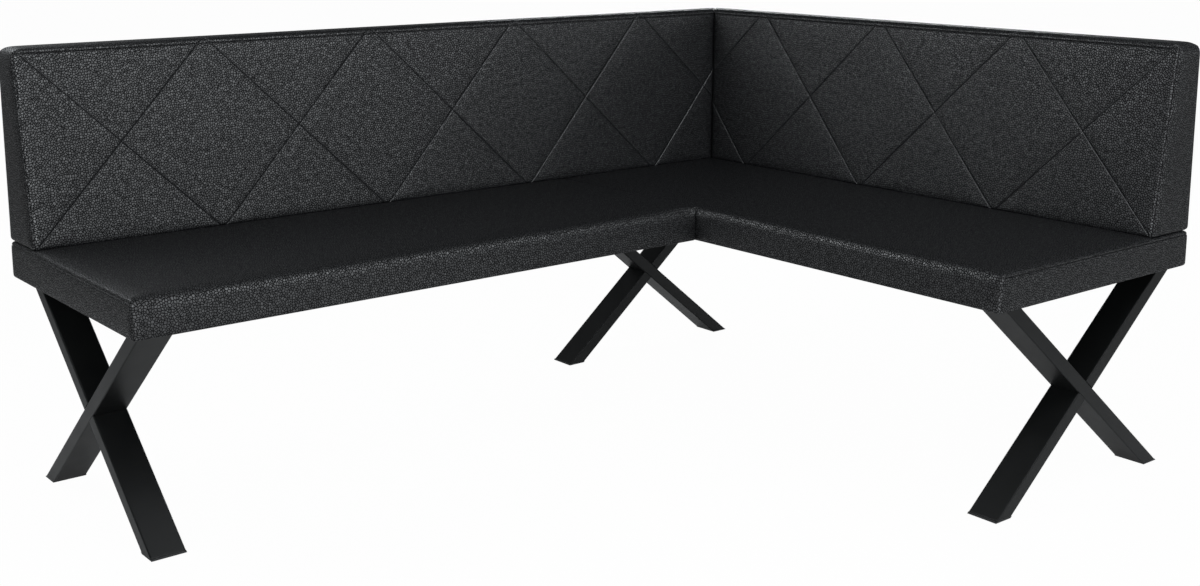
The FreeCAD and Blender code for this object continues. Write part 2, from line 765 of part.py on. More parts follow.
# Long screws from under the seat boards into the backs' base boards
for arm, (_, spacing, count) in BACK_SCREWS.items():
    first = back_screws(arm)[0]
    steps = [(count, spacing)]
    build_screws(f"{arm}_back_screws", arm, first, "board_low", "back_screw_length", steps)

# Two flat bars screwed under the seats across their joint
front_row = f"-{joiner_rows[-1]}"
bars = new_body("seat_joining_bars", "long", "joint_mid", front_row)
bar = beam(
    bars,
    block("-joiner_width / 2", "joiner_width / 2", "joiner_low", "dust_low"),
    "-joiner_length / 2",
    "joiner_length",
)
repeat(bars, [bar], None, (JOINERS, "joiner_spacing"))
screw_holes = [
    (f"{side} * joiner_reach", f"{i} * joiner_spacing") for side in (-1, 1) for i in range(JOINERS)
]
drill(bars, screw_holes, "clear_hole", "joiner_low - overrun", "joiner_thickness + 2 * overrun")
keep(bars)
first = "joint_mid - joiner_reach", front_row
steps = (2, "2 * joiner_reach"), (JOINERS, "joiner_spacing")
build_screws("seat_joining_screws", "long", first, "joiner_low", "joiner_screw_length", steps)

doc.recompute()
for item in doc.Objects:
    if any(word in item.State for word in ("Invalid", "Error")):
        raise ValueError(f"{item.Label} failed: {item.State}")
for piece in parts:
    if piece.Shape.isNull() or not piece.Shape.isValid():
        raise ValueError(f"{piece.Label} has no valid shape")
for piece in parts:
    piece.Shape.exportStep(f"parts/{piece.Label}.step")
    solids = len(piece.Shape.Solids)
    print(f"{piece.Label}: {solids} solid(s), {piece.Shape.Volume / 1000:.1f} cm3")
print(f"{len(parts)} sub-parts")
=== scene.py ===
# %% [markdown]
# A corner bench in black imitation leather on three crossed legs of flat steel tube. The steel, the
# caps, the boards, the dust sheets and the screws come from the CAD frame and only get their
# finishes here. The four padded covers are modelled anew, because real upholstery is softer than
# its CAD solid: it crowns between its seams, is pulled in where it is sewn, and has a pebbled
# grain.

# %% Load the frame
import json
import math

import bpy
import numpy as np
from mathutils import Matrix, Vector
from mathutils.bvhtree import BVHTree

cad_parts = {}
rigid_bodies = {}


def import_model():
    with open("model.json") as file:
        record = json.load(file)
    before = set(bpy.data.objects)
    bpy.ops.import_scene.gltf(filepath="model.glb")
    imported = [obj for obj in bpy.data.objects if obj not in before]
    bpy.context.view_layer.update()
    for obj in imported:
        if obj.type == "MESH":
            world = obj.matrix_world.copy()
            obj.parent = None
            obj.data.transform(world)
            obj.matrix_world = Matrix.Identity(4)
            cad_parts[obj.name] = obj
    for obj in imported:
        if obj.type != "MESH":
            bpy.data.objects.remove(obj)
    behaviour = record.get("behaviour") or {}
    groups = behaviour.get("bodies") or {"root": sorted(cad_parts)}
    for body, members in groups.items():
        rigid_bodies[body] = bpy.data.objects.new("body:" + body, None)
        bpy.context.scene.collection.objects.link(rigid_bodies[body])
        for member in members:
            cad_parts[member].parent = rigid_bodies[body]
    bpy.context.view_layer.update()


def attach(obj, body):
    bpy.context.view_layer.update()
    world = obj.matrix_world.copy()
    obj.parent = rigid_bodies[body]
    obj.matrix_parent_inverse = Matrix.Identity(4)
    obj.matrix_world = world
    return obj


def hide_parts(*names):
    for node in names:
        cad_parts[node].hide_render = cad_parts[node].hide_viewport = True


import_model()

# %% [markdown]
# The camera stands in front of the long seat's free end and looks into the corner. Its place and
# focal length were fitted to the photograph's edges. The photograph has upright verticals, as from
# a shifted lens. A full shift would push the bench out of every other view, so the camera takes a
# small one and tilts down for the rest.

# %% Camera
CAMERA_PLACE = (-1.9992, -2.4408, 1.1929)
CAMERA_TURN = math.radians(38.987)
CAMERA_TILT = math.radians(10.456)
FOCAL_LENGTH = 45.81
LENS_SHIFT = -0.085
bpy.ops.object.select_all(action="DESELECT")
bpy.ops.object.camera_add(
    location=CAMERA_PLACE,
    rotation=(math.pi / 2 - CAMERA_TILT, 0, -CAMERA_TURN),
)
camera = bpy.context.object
camera.name = "camera"
camera.data.lens = FOCAL_LENGTH
camera.data.shift_y = LENS_SHIFT
bpy.context.scene.camera = camera
print("camera", [round(v, 2) for v in camera.location])

# %% [markdown]
# Materials are built from nodes. A few small functions add the kinds that all of them use: a sum,
# a ramp, a mix of two colours, a noise and a bump. Colours are picked in sRGB and turned to the
# linear values that the shader works in.

# %% Node helpers and colours
def linear(colour):
    """The linear RGBA of a colour written as in sRGB, such as 2B2D2C."""
    parts = [int(colour[i:i + 2], 16) / 255 for i in (0, 2, 4)]
    return [p / 12.92 if p <= 0.04045 else ((p + 0.055) / 1.055) ** 2.4 for p in parts] + [1]


def settle(node, **values):
    """Gives sockets a value or a link, by their names with underscores or by place, as in0."""
    for name, value in values.items():
        socket = node.inputs[int(name[2:]) if name[2:].isdigit() else name.replace("_", " ")]
        if isinstance(value, bpy.types.NodeSocket):
            node.id_data.links.new(value, socket)
        else:
            socket.default_value = value


def add(tree, kind, settings=None, **values):
    """Adds a node with its settings, and gives its sockets their values or links."""
    made = tree.nodes.new(kind)
    for name, value in (settings or {}).items():
        setattr(made, name, value)
    settle(made, **values)
    return made


def calculate(tree, operation, *values):
    """The result of a sum, such as MULTIPLY, of sockets and numbers."""
    sockets = {f"in{i}": value for i, value in enumerate(values)}
    return add(tree, "ShaderNodeMath", {"operation": operation}, **sockets).outputs[0]


def ramp(tree, value, span=(0.0, 1.0), result=(0.0, 1.0), way="LINEAR"):
    """Runs over the result while the value runs over the span."""
    return add(
        tree, "ShaderNodeMapRange", {"interpolation_type": way},
        in0=value, in1=span[0], in2=span[1], in3=result[0], in4=result[1],
    ).outputs[0]


def mix(tree, share, none, full):
    """A colour from the first to the second, by the share."""
    return add(
        tree, "ShaderNodeMix", {"data_type": "RGBA"},
        Factor=share, in6=linear(none), in7=linear(full),
    ).outputs["Result"]


def noise(tree, place, size, detail, output="Fac"):
    """Soft noise with blots of about this size in metres."""
    made = add(tree, "ShaderNodeTexNoise", Vector=place, Scale=1 / size, Detail=detail)
    return made.outputs[output]


def relief(tree, height, strength, distance, **values):
    """The normals of a surface whose height runs up to the distance."""
    return add(
        tree, "ShaderNodeBump", Height=height, Strength=strength, Distance=distance, **values
    ).outputs[0]


def new_finish(name, places="Object"):
    """An empty material with its shader, and the place on the piece to draw its pattern by."""
    finish = bpy.data.materials.new(name)
    finish.use_nodes = True
    tree = finish.node_tree
    shader = tree.nodes["Principled BSDF"]
    return finish, tree, shader, add(tree, "ShaderNodeTexCoord").outputs[places]


print("mid grey 808080 is", round(linear("808080")[0], 3), "in linear light")

# %% [markdown]
# Black leather shows little of its own colour: most of what the eye sees on it is a dull reflection
# of the studio. Upright faces reflect the pale wall, the seats reflect the dark backs, and rounded
# level edges reflect two soft boxes above, which draw the light bands along them: one in front,
# turned to the long arm, and one behind the long arm, turned to the short one. A strip light behind
# the camera does the same for the rounded upright edges, and a box behind the corner lights the
# rear faces.

# %% Light
STUDIO_TINT = "F7FBFE"
scene = bpy.context.scene
scene.view_settings.view_transform = "Standard"


def soft_box(name, place, target, size, watts):
    """A broad lamp that faces a part of the bench."""
    bpy.ops.object.light_add(type="AREA", location=place)
    lamp = bpy.context.object
    lamp.name = name
    lamp.data.shape = "RECTANGLE"
    lamp.data.size, lamp.data.size_y = size
    lamp.data.energy = watts
    lamp.data.color = linear(STUDIO_TINT)[:3]
    lamp.rotation_euler = (Vector(target) - lamp.location).to_track_quat("-Z", "Y").to_euler()
    print(name, watts, "W")


soft_box("front_soft_box", (0.4, -1.3, 2.4), (-0.3, 0.3, 0.5), (2.4, 1.6), 34)
soft_box("side_soft_box", (-1.3, 1.3, 2.0), (0.6, -0.2, 0.6), (1.8, 1.2), 27)
soft_box("strip_light", (-2.7, -3.5, 1.5), (0.3, 0.0, 0.6), (0.7, 1.5), 60)
soft_box("rear_soft_box", (3.6, 3.0, 0.9), (0.6, 0.4, 0.7), (3.0, 1.2), 90)

# %% [markdown]
# The floor is a pale sweep under a dim room. To the camera both show almost the plain white of the
# photograph, and a share of the floor's real shading keeps the soft shadow under the legs. What
# shines on the bench sees a little of that white as well. The room's one bright wall lies in front
# of the bench. It fades to the sides and to the ceiling, which is nearly dark.

# %% Floor and room
PLAIN_WHITE = (1, 1, 1, 1)
FLOOR_SIZE = 40
FLOOR_DROP = 0.0005
WHITE_TO_CAMERA = 0.98
WHITE_TO_REFLECTIONS = 0.12
bpy.ops.mesh.primitive_plane_add(size=FLOOR_SIZE, location=(0, 0, -FLOOR_DROP))
floor = bpy.context.object
floor.name = "floor"
floor_finish, tree, shader, _ = new_finish("white_floor")
settle(shader, Base_Color=linear("E8E8E8"), Roughness=0.9)
flat_white = add(tree, "ShaderNodeEmission", Color=PLAIN_WHITE, Strength=1.0)
ray = add(tree, "ShaderNodeLightPath").outputs
reflected = calculate(tree, "MULTIPLY", ray["Is Glossy Ray"], WHITE_TO_REFLECTIONS)
white_share = calculate(tree, "MULTIPLY_ADD", ray["Is Camera Ray"], WHITE_TO_CAMERA, reflected)
blend = add(
    tree, "ShaderNodeMixShader",
    in0=white_share, in1=shader.outputs[0], in2=flat_white.outputs[0],
)
settle(tree.nodes["Material Output"], Surface=blend.outputs[0])
floor.data.materials.append(floor_finish)

ROOM_FRONT = 2.2
ROOM_REAR = 0.25
CEILING = 0.05
FRONT_WAY = (-0.20, -0.98, 0.0)
FADE_TO_FRONT = (0.2, 0.7)
FADE_TO_CEILING = (0.1, 0.5)
world = bpy.data.worlds.new("studio_room")
scene.world = world
world.use_nodes = True
tree = world.node_tree
direction = add(tree, "ShaderNodeTexCoord").outputs["Generated"]
up = add(tree, "ShaderNodeSeparateXYZ", Vector=direction).outputs["Z"]
front = add(
    tree, "ShaderNodeVectorMath", {"operation": "DOT_PRODUCT"}, in0=direction, in1=FRONT_WAY,
).outputs["Value"]
wall = ramp(tree, front, FADE_TO_FRONT, (ROOM_REAR, ROOM_FRONT))
level = ramp(tree, up, FADE_TO_CEILING, (wall, CEILING))
seen = add(tree, "ShaderNodeLightPath").outputs["Is Camera Ray"]
strength = add(tree, "ShaderNodeMix", {"data_type": "FLOAT"}, in0=seen, in2=level, in3=1.0)
settle(
    tree.nodes["Background"],
    Color=mix(tree, seen, STUDIO_TINT, "FFFFFF"), Strength=strength.outputs[0],
)
print("walls", ROOM_FRONT, "to", ROOM_REAR, "ceiling", CEILING)

# %% [markdown]
# The covers are imitation leather: polyurethane on a knitted cloth, embossed with a pebbled grain
# of 3 to 4 mm, drawn here at 5.1 mm, because a finer one would melt away at this distance. The eye
# gets a nearly black skin whose pebble tops shine dully. The shade in the creases is painted: they
# get a darker colour and hardly any shine. The grain is rolled into flat sheet, so it is drawn
# flat, on the piece's own UV in metres: the cells of a random pattern, bent a little by noise, are
# the pebbles. Each pebble, and each cluster of two or three, gets a random share of painted sheen,
# a lighter colour and more shine, as if it leaned its own way. Fine pores cover them. Right beside
# a quilted line the thread pulls the sheet tight and presses its grain flat, so that the line's
# flanks are glossier, and they also get a painted highlight, a lighter colour and more shine. The
# one turned to the light draws a thin bright edge beside the crease, whose dark is painted shade.
# Each piece holds its points' distances from those lines.

# %% Imitation leather
PEBBLE = 0.0051
WANDER = 0.012
BEND = 0.003
PEBBLE_EDGE = (0.03, 0.27)
PEBBLE_SHEEN = (0.62, 1.04)
CLUSTER = 0.009
CLUSTER_SHINE = (0.66, 1.24)
FLANK = (0.0012, 0.0018)
FLANK_SHINE = 0.9
FLANK_GLOSS = -0.12
CREASE_SHADE = (0.0004, 0.0009)
PORE = 0.0016
PORE_DEPTH = 0.25
leather, tree, shader, place = new_finish("imitation_leather", "UV")
bent = add(
    tree, "ShaderNodeVectorMath", {"operation": "MULTIPLY_ADD"},
    in0=noise(tree, place, WANDER, 2.0, "Color"), in1=(BEND, BEND, BEND), in2=place,
).outputs[0]
creases = add(
    tree, "ShaderNodeTexVoronoi", {"feature": "DISTANCE_TO_EDGE", "voronoi_dimensions": "2D"},
    Vector=bent, Scale=1 / PEBBLE,
)
cells = add(
    tree, "ShaderNodeTexVoronoi", {"voronoi_dimensions": "2D"}, Vector=bent, Scale=1 / PEBBLE,
)
pebble = ramp(tree, creases.outputs["Distance"], PEBBLE_EDGE, way="SMOOTHSTEP")
random_per_pebble = add(tree, "ShaderNodeSeparateColor", Color=cells.outputs["Color"]).outputs["Red"]
clusters = noise(tree, place, CLUSTER, 1.0)
# Painted shade in the creases, and a random share of painted sheen on each pebble and cluster.
painted_pebble_sheen = calculate(tree, "MULTIPLY", pebble, ramp(tree, random_per_pebble, result=PEBBLE_SHEEN))
painted_grain_light = calculate(
    tree, "MULTIPLY", painted_pebble_sheen, ramp(tree, clusters, (0.3, 0.7), CLUSTER_SHINE),
)
from_quilting = add(tree, "ShaderNodeAttribute", {"attribute_name": "from_quilting"}).outputs["Fac"]
# Painted highlight on a quilted line's flanks, besides the real gloss of its flattened grain.
flank_gloss_and_highlight = ramp(tree, from_quilting, FLANK, (FLANK_SHINE, 0.0))
grain_and_flank_light = calculate(tree, "MAXIMUM", painted_grain_light, flank_gloss_and_highlight)
# Painted shade on the crease right at a quilted line: darkest colour and hardly any shine.
painted_light_share = calculate(tree, "MULTIPLY", grain_and_flank_light, ramp(tree, from_quilting, CREASE_SHADE))
height = calculate(tree, "MULTIPLY_ADD", noise(tree, place, PORE, 3.0), PORE_DEPTH, pebble)
dull = ramp(tree, painted_light_share, result=(0.6, 0.38))
# The painted light above sets colour and shine: dark creases, lighter pebbles and flanks.
settle(
    shader,
    Base_Color=mix(tree, painted_light_share, "060607", "161719"),
    Specular_IOR_Level=ramp(tree, painted_light_share, result=(0.05, 1.15)),
    Roughness=calculate(tree, "MULTIPLY_ADD", flank_gloss_and_highlight, FLANK_GLOSS, dull),
    Normal=relief(tree, height, 0.7, 0.0004),
)
print("leather: pebbles of", PEBBLE * 1000, "mm")

# %% [markdown]
# The thread is spun polyester, bonded and dyed black: a matt, faintly fuzzy line with a twist of
# three strands. The twist is drawn with one turn in some 4 mm, coarser than on a real thread.

# %% Thread
thread, tree, shader, place = new_finish("polyester_thread")
twist = add(
    tree, "ShaderNodeTexWave", {"bands_direction": "DIAGONAL"},
    Vector=place, Scale=1 / 0.006, Distortion=0.4,
).outputs["Fac"]
settle(
    shader,
    Base_Color=mix(tree, twist, "09090A", "141416"),
    Normal=relief(tree, twist, 0.6, 0.0001),
    Roughness=0.7,
    Specular_IOR_Level=0.2,
)
print("thread:", len(tree.nodes), "nodes")

# %% [markdown]
# The legs are welded mild steel tube with a satin black polyester powder coat, baked on. It lies
# like a thick skin with a fine orange peel, some 2 mm from dimple to dimple. The eye gets a deep
# black with a soft clear reflection, so the faces turned to the pale floor look grey and those
# under the seat stay black. The tube's corners are rolled in the CAD, and the coat rounds every
# other edge, such as a cut end, which the shader does here.

# %% Powder coat
ORANGE_PEEL = 0.0022
CLOUD = 0.06
COATED_EDGE = 0.003
powder_coat, tree, shader, place = new_finish("satin_powder_coat")
peel = noise(tree, place, ORANGE_PEEL, 1.0)
clouds = noise(tree, place, CLOUD, 3.0)
corners = add(tree, "ShaderNodeBevel", {"samples": 4}, Radius=COATED_EDGE).outputs[0]
settle(
    shader,
    Base_Color=mix(tree, clouds, "070808", "0D0E0E"),
    Roughness=ramp(tree, clouds, result=(0.36, 0.46)),
    Normal=relief(tree, peel, 0.25, 0.00003, Normal=corners),
    IOR=1.5,
    Specular_IOR_Level=0.28,
)
print("powder coat:", len(tree.nodes), "nodes")

# %% [markdown]
# The caps in the tube ends are moulded low-density polyethylene, dyed black. The mould was
# spark-eroded, which leaves a fine even roughness of about half a millimetre, and the waxy plastic
# scatters light, so the caps look a shade greyer and duller than the paint.

# %% Moulded plastic
SPARK_PIT = 0.0006
foot_plastic, tree, shader, place = new_finish("moulded_polyethylene")
eroded = noise(tree, place, SPARK_PIT, 2.0)
settle(
    shader,
    Base_Color=mix(tree, eroded, "131414", "1E1F1F"),
    Normal=relief(tree, eroded, 0.4, 0.00006),
    Roughness=0.62,
    IOR=1.51,
)
print("moulded plastic:", len(tree.nodes), "nodes")

# %% [markdown]
# The boards are poplar plywood, peeled from the log, so the face shows long wandering grain, about
# 4 mm from line to line, and a sawn edge shows the plies, alternately light and dark. These are
# drawn at some 7 mm each, coarser than real ones.

# %% Plywood
PLY_SCALE = 0.1 / 0.0044
GRAIN = 0.004
GRAIN_STRETCH = (0.08, 1.0, 1.0)
plywood, tree, shader, place = new_finish("poplar_plywood")
stretched = add(tree, "ShaderNodeMapping", Vector=place, Scale=GRAIN_STRETCH).outputs[0]
grain = noise(tree, stretched, GRAIN, 5.0)
plies = add(
    tree, "ShaderNodeTexWave", {"bands_direction": "Z"}, Vector=place, Scale=PLY_SCALE,
).outputs["Fac"]
settle(
    shader,
    Base_Color=mix(tree, calculate(tree, "MULTIPLY_ADD", plies, 0.25, grain), "C9A877", "E2CBA0"),
    Normal=relief(tree, grain, 0.3, 0.0002),
    Roughness=0.7,
)
print("plywood:", len(tree.nodes), "nodes")

# %% [markdown]
# Under each seat a sheet of spun-bonded polypropylene closes the cover. Its fibres are pressed
# together in rows of small dots, about 1.3 mm apart, which are smoother and shine a little in a
# dull black felt. Part of that shine is painted, as a lighter colour on the dots.

# %% Spun-bonded sheet
DOT_PITCH = 0.0013
dust_cloth, tree, shader, place = new_finish("spunbond_polypropylene")
dots = add(tree, "ShaderNodeTexVoronoi", Vector=place, Scale=1 / DOT_PITCH, Randomness=0.15)
loose = ramp(tree, dots.outputs["Distance"], (0.2, 0.4))
# Painted sheen: the pressed dots get a lighter colour besides their lower roughness.
settle(
    shader,
    Base_Color=mix(tree, loose, "202022", "121213"),
    Roughness=ramp(tree, loose, result=(0.55, 0.9)),
    Normal=relief(tree, loose, 0.6, 0.0002),
)
print("dust sheet:", len(tree.nodes), "nodes")

# %% [markdown]
# Screws and joining bars are mild steel with a bright zinc plate and a clear passivation. The
# crystals of the plate, about 3 mm across, give it a faint patchy sheen.

# %% Zinc plate
CRYSTAL = 0.003
zinc, tree, shader, place = new_finish("bright_zinc_plate")
crystals = add(tree, "ShaderNodeTexVoronoi", Vector=place, Scale=1 / CRYSTAL)
settle(
    shader,
    Base_Color=mix(tree, crystals.outputs["Color"], "B9BDC2", "CDD0D2"),
    Roughness=ramp(tree, crystals.outputs["Distance"], result=(0.24, 0.36)),
    Metallic=1.0,
)
print("zinc plate:", len(tree.nodes), "nodes")

# %% [markdown]
# The rigid parts keep their CAD meshes. Each carries plain stand-in materials from the frame, and
# the finished ones take their places by name. So every tube, cap, board, sheet and screw of one
# kind gets the same finish, as a workshop would buy them.

# %% Finishes on the CAD nodes
FINISHES = {
    "black_powder_coat": powder_coat,
    "black_plastic": foot_plastic,
    "plywood": plywood,
    "dust_sheet": dust_cloth,
    "zinc_steel": zinc,
}
dressed = 0
for item in scene.objects:
    for slot in item.material_slots:
        if slot.material and slot.material.name in FINISHES:
            slot.material = FINISHES[slot.material.name]
            dressed += 1
print("dressed", dressed, "material slots of the frame")

# %% [markdown]
# A padded piece is made in steps that are the same for all four, so each step is one function:
# a block to start from, picking its edges in code, rounding them, cutting it into an even mesh,
# swelling it as cloth, and sewing. Each starts with everything deselected, since the CAD nodes
# come selected.

# %% Modelling helpers
SAME = 0.0005
MERGED = 0.0007
ROUNDING_STEPS = 5


def work_on(piece):
    """Makes the piece the only one that the operators act on."""
    bpy.ops.object.select_all(action="DESELECT")
    piece.select_set(True)
    bpy.context.view_layer.objects.active = piece


def block(name, low, high):
    """A block between two corners, as the start of a piece."""
    bpy.ops.object.select_all(action="DESELECT")
    middle = [(a + b) / 2 for a, b in zip(low, high)]
    bpy.ops.mesh.primitive_cube_add(
        size=1, location=middle, scale=[b - a for a, b in zip(low, high)]
    )
    piece = bpy.context.object
    piece.name = piece.data.name = name
    bpy.ops.object.transform_apply(location=True, rotation=False, scale=True)
    return piece


def points(piece):
    """The piece's points, one row each."""
    spots = np.zeros(len(piece.data.vertices) * 3)
    piece.data.vertices.foreach_get("co", spots)
    return spots.reshape(-1, 3)


def move(piece, spots):
    """Gives the piece's points new places."""
    piece.data.vertices.foreach_set("co", spots.ravel())
    piece.data.update()


def near(value, target):
    """Whether two lengths are the same."""
    return abs(value - target) < SAME


def keeping(rule, spots):
    """Which points keep the rule."""
    return np.array([bool(rule(*p)) for p in spots])


def pick(piece, kind, rule):
    """Enters edit mode with the points, or the whole faces, selected that keep the rule."""
    work_on(piece)
    bpy.context.tool_settings.mesh_select_mode = [kind == k for k in ("VERT", "EDGE", "FACE")]
    mesh = piece.data
    kept = keeping(rule, points(piece))
    for group in (mesh.vertices, mesh.edges, mesh.polygons):
        group.foreach_set("select", np.zeros(len(group), bool))
    if kind == "VERT":
        mesh.vertices.foreach_set("select", kept)
    else:
        whole = [kept[list(face.vertices)].all() for face in mesh.polygons]
        mesh.polygons.foreach_set("select", np.array(whole))
    bpy.ops.object.mode_set(mode="EDIT")


def round_off(piece, radii):
    """Rounds each edge to the radius of the first rule that both its ends keep."""
    widest = max(radius for radius, rule in radii)
    spots = points(piece)
    edges = np.array([list(edge.vertices) for edge in piece.data.edges])
    weights = np.zeros(len(edges))
    for radius, rule in reversed(radii):
        weights[keeping(rule, spots)[edges].all(axis=1)] = radius / widest
    share = piece.data.attributes.new("bevel_weight_edge", "FLOAT", "EDGE")
    share.data.foreach_set("value", weights)
    work_on(piece)
    bevel = piece.modifiers.new("bevel", "BEVEL")
    bevel.limit_method = "WEIGHT"
    bevel.width = widest
    bevel.segments = ROUNDING_STEPS
    bevel.use_clamp_overlap = False
    bpy.ops.object.modifier_apply(modifier=bevel.name)


def slice_even(piece, cell):
    """Cuts the piece by level and upright planes, a cell apart, so that it has an even mesh."""
    spots = points(piece)
    low, high = spots.min(0), spots.max(0)
    work_on(piece)
    bpy.ops.object.mode_set(mode="EDIT")
    for axis in range(3):
        count = max(1, round((high[axis] - low[axis]) / cell))
        normal = [float(axis == i) for i in range(3)]
        for i in range(1, count):
            spot = [0.0, 0.0, 0.0]
            spot[axis] = low[axis] + (high[axis] - low[axis]) * i / count
            bpy.ops.mesh.select_all(action="SELECT")
            bpy.ops.mesh.bisect(plane_co=spot, plane_no=normal)
    bpy.ops.mesh.select_all(action="SELECT")
    bpy.ops.mesh.remove_doubles(threshold=MERGED)
    bpy.ops.object.mode_set(mode="OBJECT")


print("helpers ready, points nearer than", MERGED * 1000, "mm become one")

# %% [markdown]
# Foam under a stretched cover bulges between the lines where the cover is held. Cloth with air
# pressure inside does the same: the points on the boards and on the sewn lines are pinned, the
# rest swell, and a cap keeps each point within what firm seat foam would give.

# %% Swelling
AIR_PRESSURE = 4
CLOTH_QUALITY = 5
CLOTH_FRAMES = 20


def swell(piece, held, cap):
    """Swells a closed piece as cloth where it isn't held, by no more than the cap."""
    before = points(piece)
    pins = piece.vertex_groups.new(name="held")
    pins.add([int(i) for i in np.nonzero(held(before))[0]], 1.0, "REPLACE")
    cloth = piece.modifiers.new("cloth", "CLOTH")
    cloth.settings.vertex_group_mass = "held"
    cloth.settings.use_pressure = True
    cloth.settings.uniform_pressure_force = AIR_PRESSURE
    cloth.settings.effector_weights.gravity = 0
    cloth.settings.quality = CLOTH_QUALITY
    cloth.point_cache.frame_end = CLOTH_FRAMES
    for step in range(1, CLOTH_FRAMES + 1):
        scene.frame_set(step)
    work_on(piece)
    bpy.ops.object.modifier_apply(modifier=cloth.name)
    scene.frame_set(1)
    piece.vertex_groups.clear()
    shift = points(piece) - before
    length = np.linalg.norm(shift, axis=1)
    share = np.where(length > 0, cap * np.tanh(length / cap) / np.maximum(length, 1e-9), 0)
    move(piece, before + shift * share[:, None])
    print(piece.name, "swelled by up to", round(float((length * share).max()) * 1000, 1), "mm")
    work_on(piece)
    smooth = piece.modifiers.new("smooth", "SUBSURF")
    smooth.levels = smooth.render_levels = 1
    bpy.ops.object.modifier_apply(modifier=smooth.name)


print("cloth runs for", CLOTH_FRAMES, "frames at pressure", AIR_PRESSURE)

# %% [markdown]
# A back is a wedge, 141 mm deep at its foot and 81 mm at its head, cut at 45 degrees where it
# meets the other one. It is modelled lying along the first axis from its free end, with its rear
# at zero on the second, and set in its place last. Both backs are the same but for their lengths.
# Each edge gets the radius of the first line in the list that it fits.

# %% Form of a back
LONG_ARM = 2.0
SHORT_ARM = 1.486
SEAT_TOP = 0.516
BENCH_TOP = 0.919
FOOT_DEPTH = 0.141
HEAD_DEPTH = 0.081
MITRE_GAP = 0.0006


def back_front(height):
    """Where the sloping front of a back is at a height."""
    share = (height - SEAT_TOP) / (BENCH_TOP - SEAT_TOP)
    return -(FOOT_DEPTH + (HEAD_DEPTH - FOOT_DEPTH) * share)


def back_block(name, length):
    """The back's plain wedge, mitred and rounded."""
    turn = math.sqrt(0.5)
    mitre = length - MITRE_GAP * turn
    piece = block(name, (0, -FOOT_DEPTH, SEAT_TOP), (length, 0, BENCH_TOP))
    pick(piece, "VERT", lambda x, y, z: near(y, -FOOT_DEPTH) and near(z, BENCH_TOP))
    bpy.ops.transform.translate(value=(0, FOOT_DEPTH - HEAD_DEPTH, 0))
    bpy.ops.mesh.select_all(action="SELECT")
    bpy.ops.mesh.bisect(
        plane_co=(mitre, 0, 0), plane_no=(turn, -turn, 0), use_fill=True, clear_outer=True,
    )
    bpy.ops.object.mode_set(mode="OBJECT")
    round_off(piece, [
        (0.004, lambda x, y, z: near(x - y, mitre)),
        (0.014, lambda x, y, z: near(y, back_front(z)) and near(x, 0)),
        (0.007, lambda x, y, z: near(y, back_front(z))),
        (0.020, lambda x, y, z: near(z, BENCH_TOP)),
        (0.010, lambda x, y, z: near(y, 0) and near(z, SEAT_TOP)),
        (0.006, lambda x, y, z: near(y, 0)),
        (0.008, lambda x, y, z: near(x, 0)),
    ])
    return piece


long_back = back_block("long_back_upholstery", LONG_ARM)
short_back = back_block("short_back_upholstery", SHORT_ARM)
print("backs", len(long_back.data.polygons), len(short_back.data.polygons))

# %% [markdown]
# Cloth and sewn lines need points all over the cover, but after rounding the wedge only has a few
# large faces. It is cut by planes about 15 mm apart along each axis, which keeps its form exactly.

# %% Even mesh
BACK_MESH = 0.0145
for piece in (long_back, short_back):
    slice_even(piece, BACK_MESH)
print("back meshes", len(long_back.data.polygons), len(short_back.data.polygons))

# %% [markdown]
# The quilting is one large X in each cell, 412 mm wide on the long back and 404 mm on the short
# one. While the foam swells, the sewn lines are held, so that every diamond gets its own slight
# crown.

# %% Quilting lines and swelling
LONG_CELL = 0.412
SHORT_CELL = 0.404
CELL_HEIGHT = 0.412
CELL_MIDDLE = (SEAT_TOP + BENCH_TOP) / 2
TOP_SEAM = BENCH_TOP - 0.0107
BACK_CROWN = 0.0013
BESIDE_SEAM = 0.006
AT_REAR = 0.003
AT_FOOT = 0.002
AT_FRONT = 0.004


def quilt_distance(spots, width):
    """How far each point is from the nearest sewn diagonal, seen square on."""
    best = np.full(len(spots), np.inf)
    for way in (1, -1):
        off = spots[:, 0] / width - way * (spots[:, 2] - CELL_MIDDLE) / CELL_HEIGHT - 0.5
        off -= np.round(off)
        best = np.minimum(best, np.abs(off) / math.hypot(1 / width, 1 / CELL_HEIGHT))
    return best


def back_held(width):
    """Where a back's cover is held: on its rear board, at its foot and on its sewn lines."""
    def held(spots):
        rear = spots[:, 1] > -AT_REAR
        foot = spots[:, 2] < SEAT_TOP + AT_FOOT
        front = spots[:, 1] < back_front(spots[:, 2]) + AT_FRONT
        sewn = front & (quilt_distance(spots, width) < BESIDE_SEAM)
        border = front & (np.abs(spots[:, 2] - TOP_SEAM) < BESIDE_SEAM)
        corner = front & (spots[:, 0] < BESIDE_SEAM)
        return rear | foot | sewn | border | corner
    return held


for piece, width in ((long_back, LONG_CELL), (short_back, SHORT_CELL)):
    swell(piece, back_held(width), BACK_CROWN)
print("diamonds crowned by no more than", BACK_CROWN * 1000, "mm")

# %% [markdown]
# Sewing pulls the cover down in a line. The mesh is first cut along each line, and beside it, so
# that it has points where the groove needs them. Then the points move inwards: a narrow groove
# where the thread lies, in a wide shallow valley where the foam is pressed down.

# %% Sewing helpers
CUTS = (-0.006, -0.0015, -0.0007, 0.0, 0.0007, 0.0015, 0.006)
GROOVE_DEPTH = 0.0018
GROOVE_HALF = 0.0015
VALLEY_REACH = 0.007


def show_only(piece, rule):
    """Enters edit mode with only the faces in view whose points all keep the rule."""
    pick(piece, "FACE", rule)
    bpy.ops.mesh.hide(unselected=True)


def score(spot, normal):
    """Cuts the faces in view along a line and beside it."""
    normal = Vector(normal).normalized()
    for offset in CUTS:
        bpy.ops.mesh.select_all(action="SELECT")
        bpy.ops.mesh.bisect(plane_co=Vector(spot) + normal * offset, plane_no=normal)


